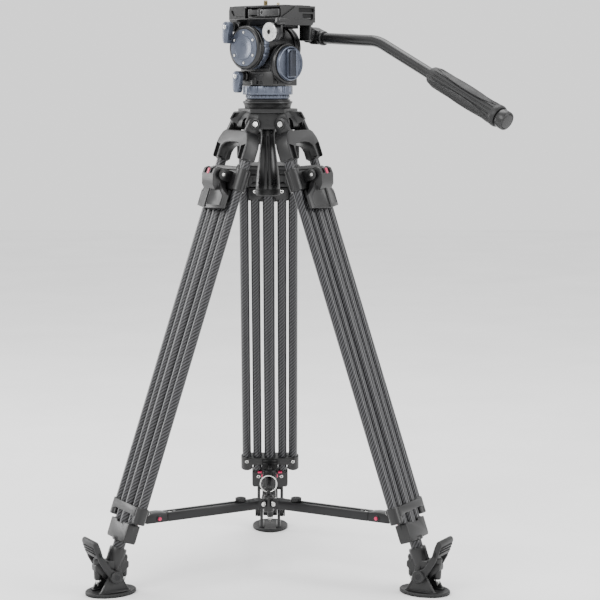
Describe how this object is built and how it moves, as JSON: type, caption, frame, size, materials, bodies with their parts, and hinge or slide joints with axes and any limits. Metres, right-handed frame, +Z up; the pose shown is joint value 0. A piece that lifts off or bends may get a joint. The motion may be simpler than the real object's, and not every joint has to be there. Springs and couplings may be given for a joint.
{
  "type": "tripod with fluid head",
  "caption": "Video tripod: twin-tube telescoping legs, mid-level spreader, spiked feet with pads, bowl crown and a fluid head with quick-release plate and pan handle.",
  "frame": {"origin": "on the floor, under the centre of the whole object's bounding box; the tripod's own axis stands 29 mm to -X and 23 mm to -Y of it", "axes": "+Z up; one leg points to +Y and the other two to the front left and front right; the head is panned 45 degrees so that the pan handle comes forward and to the right"},
  "size_m": [0.608, 0.5646, 0.851],
  "materials": {
    "casting": "satin black paint on cast alloy",
    "carbon": "gloss clear over a diagonal carbon weave",
    "black_metal": "satin black anodised",
    "blue_metal": "satin blue-grey anodised",
    "rubber": "matt black",
    "steel": "bright machined",
    "brass": "satin"
  },
  "bodies": {
    "crown": {"crown": "casting"},
    "level": {"levelling_ball": "black_metal", "pan_flange": "blue_metal"},
    "bowl_handle": {"bowl_clamp_handle": "rubber"},
    "pan": {"head_body": "casting"},
    "pan_ring": {"pan_drag_ring": "blue_metal"},
    "pan_lock": {"pan_lock_lever": "blue_metal"},
    "tilt": {"platform": "casting", "tilt_cheek_left": "casting", "tilt_cheek_right": "casting", "accessory_boss": "steel"},
    "tilt_ring": {"tilt_drag_ring": "blue_metal"},
    "tilt_lock": {"tilt_lock_lever": "blue_metal"},
    "balance": {"balance_knob": "blue_metal"},
    "plate": {"camera_plate": "black_metal"},
    "plate_lever": {"plate_lock_lever": "casting"},
    "screw": {"camera_screw": "brass"},
    "handle": {"handle_bracket": "casting", "pan_bar": "black_metal", "grip": "rubber", "grip_end_cap": "casting"},
    "handle_clamp": {"handle_clamp_knob": "casting"},
    "pull_ring": {"pull_ring": "steel"},
    "leg_a_upper": {"leg_a_yoke": "casting", "leg_a_outer_tubes": "carbon", "leg_a_lock_housing": "casting"},
    "leg_a_lock": {"leg_a_lock_lever": "casting"},
    "leg_a_middle": {"leg_a_inner_tubes": "carbon"},
    "leg_a_lower": {"leg_a_centre_tube": "carbon", "leg_a_spiked_foot": "casting"},
    "leg_a_pad": {"leg_a_foot_pad": "rubber"},
    "leg_a_release": {"leg_a_foot_lever": "rubber"},
    "leg_a_clip": {"leg_a_arm_clip": "black_metal"},
    "leg_a_channel": {"leg_a_arm_channel": "black_metal", "spreader_hub": "casting"},
    "leg_a_knob": {"leg_a_arm_knob": "casting"},
    "leg_b_upper": {"leg_b_yoke": "casting", "leg_b_outer_tubes": "carbon", "leg_b_lock_housing": "casting"},
    "leg_b_lock": {"leg_b_lock_lever": "casting"},
    "leg_b_middle": {"leg_b_inner_tubes": "carbon"},
    "leg_b_lower": {"leg_b_centre_tube": "carbon", "leg_b_spiked_foot": "casting"},
    "leg_b_pad": {"leg_b_foot_pad": "rubber"},
    "leg_b_release": {"leg_b_foot_lever": "rubber"},
    "leg_b_clip": {"leg_b_arm_clip": "black_metal"},
    "leg_b_channel": {"leg_b_arm_channel": "black_metal"},
    "leg_b_knob": {"leg_b_arm_knob": "casting"},
    "leg_c_upper": {"leg_c_yoke": "casting", "leg_c_outer_tubes": "carbon", "leg_c_lock_housing": "casting"},
    "leg_c_lock": {"leg_c_lock_lever": "casting"},
    "leg_c_middle": {"leg_c_inner_tubes": "carbon"},
    "leg_c_lower": {"leg_c_centre_tube": "carbon", "leg_c_spiked_foot": "casting"},
    "leg_c_pad": {"leg_c_foot_pad": "rubber"},
    "leg_c_release": {"leg_c_foot_lever": "rubber"},
    "leg_c_clip": {"leg_c_arm_clip": "black_metal"},
    "leg_c_channel": {"leg_c_arm_channel": "black_metal"},
    "leg_c_knob": {"leg_c_arm_knob": "casting"}
  },
  "joints": [
    {"name": "leg_a_spread", "type": "hinge", "parent": "crown", "child": "leg_a_upper", "pos_m": [-0.02908, 0.01565, 0.672], "axis": [1, 0, 0], "range_deg": [0, 9]},
    {"name": "leg_a_first_stage", "type": "slide", "parent": "leg_a_upper", "child": "leg_a_middle", "axis": [0, 0.3285, -0.9445], "range_m": [0, 0.32]},
    {"name": "leg_a_second_stage", "type": "slide", "parent": "leg_a_middle", "child": "leg_a_lower", "axis": [0, 0.3285, -0.9445], "range_m": [0, 0.34]},
    {"name": "leg_a_lock_turn", "type": "hinge", "parent": "leg_a_upper", "child": "leg_a_lock", "pos_m": [-0.02908, 0.06389, 0.60027], "axis": [1, 0, 0], "range_deg": [0, 85]},
    {"name": "leg_a_pad_tilt", "type": "hinge", "parent": "leg_a_lower", "child": "leg_a_pad", "pos_m": [-0.02908, 0.23925, 0.028], "axis": [1, 0, 0], "range_deg": [-12, 12]},
    {"name": "leg_a_release_turn", "type": "hinge", "parent": "leg_a_lower", "child": "leg_a_release", "pos_m": [-0.02908, 0.23925, 0.028], "axis": [1, 0, 0], "range_deg": [-45, 15]},
    {"name": "leg_a_clip_turn", "type": "hinge", "parent": "leg_a_upper", "child": "leg_a_clip", "pos_m": [-0.02908, 0.18425, 0.103], "axis": [1, 0, 0], "range_deg": [-9, 0]},
    {"name": "leg_a_channel_slide", "type": "slide", "parent": "leg_a_clip", "child": "leg_a_channel", "axis": [0, -1, 0], "range_m": [0, 0.087]},
    {"name": "leg_a_knob_turn", "type": "hinge", "parent": "leg_a_clip", "child": "leg_a_knob", "pos_m": [-0.02908, 0.02525, 0.113], "axis": [0, 0, 1], "range_deg": [0, 270]},
    {"name": "leg_b_spread", "type": "hinge", "parent": "crown", "child": "leg_b_upper", "pos_m": [-0.06233, -0.04195, 0.672], "axis": [-0.5, 0.866, 0], "range_deg": [0, 9]},
    {"name": "leg_b_first_stage", "type": "slide", "parent": "leg_b_upper", "child": "leg_b_middle", "axis": [-0.2845, -0.1642, -0.9445], "range_m": [0, 0.32]},
    {"name": "leg_b_second_stage", "type": "slide", "parent": "leg_b_middle", "child": "leg_b_lower", "axis": [-0.2845, -0.1642, -0.9445], "range_m": [0, 0.34]},
    {"name": "leg_b_lock_turn", "type": "hinge", "parent": "leg_b_upper", "child": "leg_b_lock", "pos_m": [-0.10411, -0.06607, 0.60027], "axis": [-0.5, 0.866, 0], "range_deg": [0, 85]},
    {"name": "leg_b_pad_tilt", "type": "hinge", "parent": "leg_b_lower", "child": "leg_b_pad", "pos_m": [-0.25598, -0.15375, 0.028], "axis": [-0.5, 0.866, 0], "range_deg": [-12, 12]},
    {"name": "leg_b_release_turn", "type": "hinge", "parent": "leg_b_lower", "child": "leg_b_release", "pos_m": [-0.25598, -0.15375, 0.028], "axis": [-0.5, 0.866, 0], "range_deg": [-45, 15]},
    {"name": "leg_b_clip_turn", "type": "hinge", "parent": "leg_b_upper", "child": "leg_b_clip", "pos_m": [-0.20835, -0.12625, 0.103], "axis": [-0.5, 0.866, 0], "range_deg": [-9, 0]},
    {"name": "leg_b_channel_slide", "type": "slide", "parent": "leg_b_clip", "child": "leg_b_channel", "axis": [0.866, 0.5, 0], "range_m": [0, 0.087]},
    {"name": "leg_b_knob_turn", "type": "hinge", "parent": "leg_b_clip", "child": "leg_b_knob", "pos_m": [-0.07065, -0.04675, 0.113], "axis": [0, 0, 1], "range_deg": [0, 270]},
    {"name": "leg_c_spread", "type": "hinge", "parent": "crown", "child": "leg_c_upper", "pos_m": [0.00418, -0.04195, 0.672], "axis": [-0.5, -0.866, 0], "range_deg": [0, 9]},
    {"name": "leg_c_first_stage", "type": "slide", "parent": "leg_c_upper", "child": "leg_c_middle", "axis": [0.2845, -0.1642, -0.9445], "range_m": [0, 0.32]},
    {"name": "leg_c_second_stage", "type": "slide", "parent": "leg_c_middle", "child": "leg_c_lower", "axis": [0.2845, -0.1642, -0.9445], "range_m": [0, 0.34]},
    {"name": "leg_c_lock_turn", "type": "hinge", "parent": "leg_c_upper", "child": "leg_c_lock", "pos_m": [0.04595, -0.06607, 0.60027], "axis": [-0.5, -0.866, 0], "range_deg": [0, 85]},
    {"name": "leg_c_pad_tilt", "type": "hinge", "parent": "leg_c_lower", "child": "leg_c_pad", "pos_m": [0.19782, -0.15375, 0.028], "axis": [-0.5, -0.866, 0], "range_deg": [-12, 12]},
    {"name": "leg_c_release_turn", "type": "hinge", "parent": "leg_c_lower", "child": "leg_c_release", "pos_m": [0.19782, -0.15375, 0.028], "axis": [-0.5, -0.866, 0], "range_deg": [-45, 15]},
    {"name": "leg_c_clip_turn", "type": "hinge", "parent": "leg_c_upper", "child": "leg_c_clip", "pos_m": [0.15019, -0.12625, 0.103], "axis": [-0.5, -0.866, 0], "range_deg": [-9, 0]},
    {"name": "leg_c_channel_slide", "type": "slide", "parent": "leg_c_clip", "child": "leg_c_channel", "axis": [-0.866, 0.5, 0], "range_m": [0, 0.087]},
    {"name": "leg_c_knob_turn", "type": "hinge", "parent": "leg_c_clip", "child": "leg_c_knob", "pos_m": [0.01249, -0.04675, 0.113], "axis": [0, 0, 1], "range_deg": [0, 270]},
    {"name": "ring_pull", "type": "slide", "parent": "leg_a_channel", "child": "pull_ring", "axis": [0, 0, 1], "range_m": [0, 0.006], "stiffness_N_per_m": 300},
    {"name": "level_tilt", "type": "hinge", "parent": "crown", "child": "level", "pos_m": [-0.02908, -0.02275, 0.707], "axis": [1, 0, 0], "range_deg": [-8, 8]},
    {"name": "bowl_handle_turn", "type": "hinge", "parent": "level", "child": "bowl_handle", "pos_m": [-0.02908, -0.02275, 0.62], "axis": [0, 0, 1], "range_deg": [0, 360]},
    {"name": "pan_turn", "type": "hinge", "parent": "level", "child": "pan", "pos_m": [-0.02908, -0.02275, 0.714], "axis": [0, 0, 1], "continuous": true},
    {"name": "pan_ring_turn", "type": "hinge", "parent": "level", "child": "pan_ring", "pos_m": [-0.02908, -0.02275, 0.714], "axis": [0, 0, 1], "range_deg": [0, 120]},
    {"name": "pan_lock_turn", "type": "hinge", "parent": "pan", "child": "pan_lock", "pos_m": [-0.06868, -0.04255, 0.741], "axis": [0.7071, 0.7071, 0], "range_deg": [0, 90]},
    {"name": "tilt_turn", "type": "hinge", "parent": "pan", "child": "tilt", "pos_m": [-0.02908, -0.02275, 0.782], "axis": [-0.7071, -0.7071, 0], "range_deg": [-30, 70]},
    {"name": "tilt_ring_turn", "type": "hinge", "parent": "pan", "child": "tilt_ring", "pos_m": [-0.02908, -0.02275, 0.782], "axis": [0.7071, 0.7071, 0], "range_deg": [0, 120]},
    {"name": "tilt_lock_turn", "type": "hinge", "parent": "tilt", "child": "tilt_lock", "pos_m": [-0.08282, -0.0383, 0.812], "axis": [0.7071, 0.7071, 0], "range_deg": [0, 90]},
    {"name": "balance_turn", "type": "hinge", "parent": "pan", "child": "balance", "pos_m": [0.00133, -0.05315, 0.7594], "axis": [-0.7071, 0.7071, 0], "range_deg": [0, 270]},
    {"name": "plate_slide", "type": "slide", "parent": "tilt", "child": "plate", "axis": [-0.7071, 0.7071, 0], "range_m": [0, 0.02]},
    {"name": "plate_lever_turn", "type": "hinge", "parent": "tilt", "child": "plate_lever", "pos_m": [-0.05383, -0.04184, 0.831], "axis": [0, 0, -1], "range_deg": [0, 60]},
    {"name": "screw_turn", "type": "hinge", "parent": "plate", "child": "screw", "pos_m": [-0.03191, -0.01992, 0.838], "axis": [0, 0, 1], "range_deg": [0, 360]},
    {"name": "handle_turn", "type": "hinge", "parent": "tilt", "child": "handle", "pos_m": [0.03385, -0.02204, 0.8015], "axis": [-0.7071, -0.7071, 0], "range_deg": [-10, 60]},
    {"name": "handle_clamp_turn", "type": "hinge", "parent": "handle", "child": "handle_clamp", "pos_m": [0.048, -0.01355, 0.799], "axis": [0.7071, 0.7071, 0], "range_deg": [0, 270]}
  ],
  "couplings": [
    {"joint": "leg_a_clip_turn", "follows": "leg_a_spread", "ratio": -1},
    {"joint": "leg_a_channel_slide", "follows": "leg_a_spread", "m_per_rad": 0.55345},
    {"joint": "leg_b_spread", "follows": "leg_a_spread", "ratio": 1},
    {"joint": "leg_b_clip_turn", "follows": "leg_a_spread", "ratio": -1},
    {"joint": "leg_b_channel_slide", "follows": "leg_a_spread", "m_per_rad": 0.55345},
    {"joint": "leg_c_spread", "follows": "leg_a_spread", "ratio": 1},
    {"joint": "leg_c_clip_turn", "follows": "leg_a_spread", "ratio": -1},
    {"joint": "leg_c_channel_slide", "follows": "leg_a_spread", "m_per_rad": 0.55345}
  ]
}
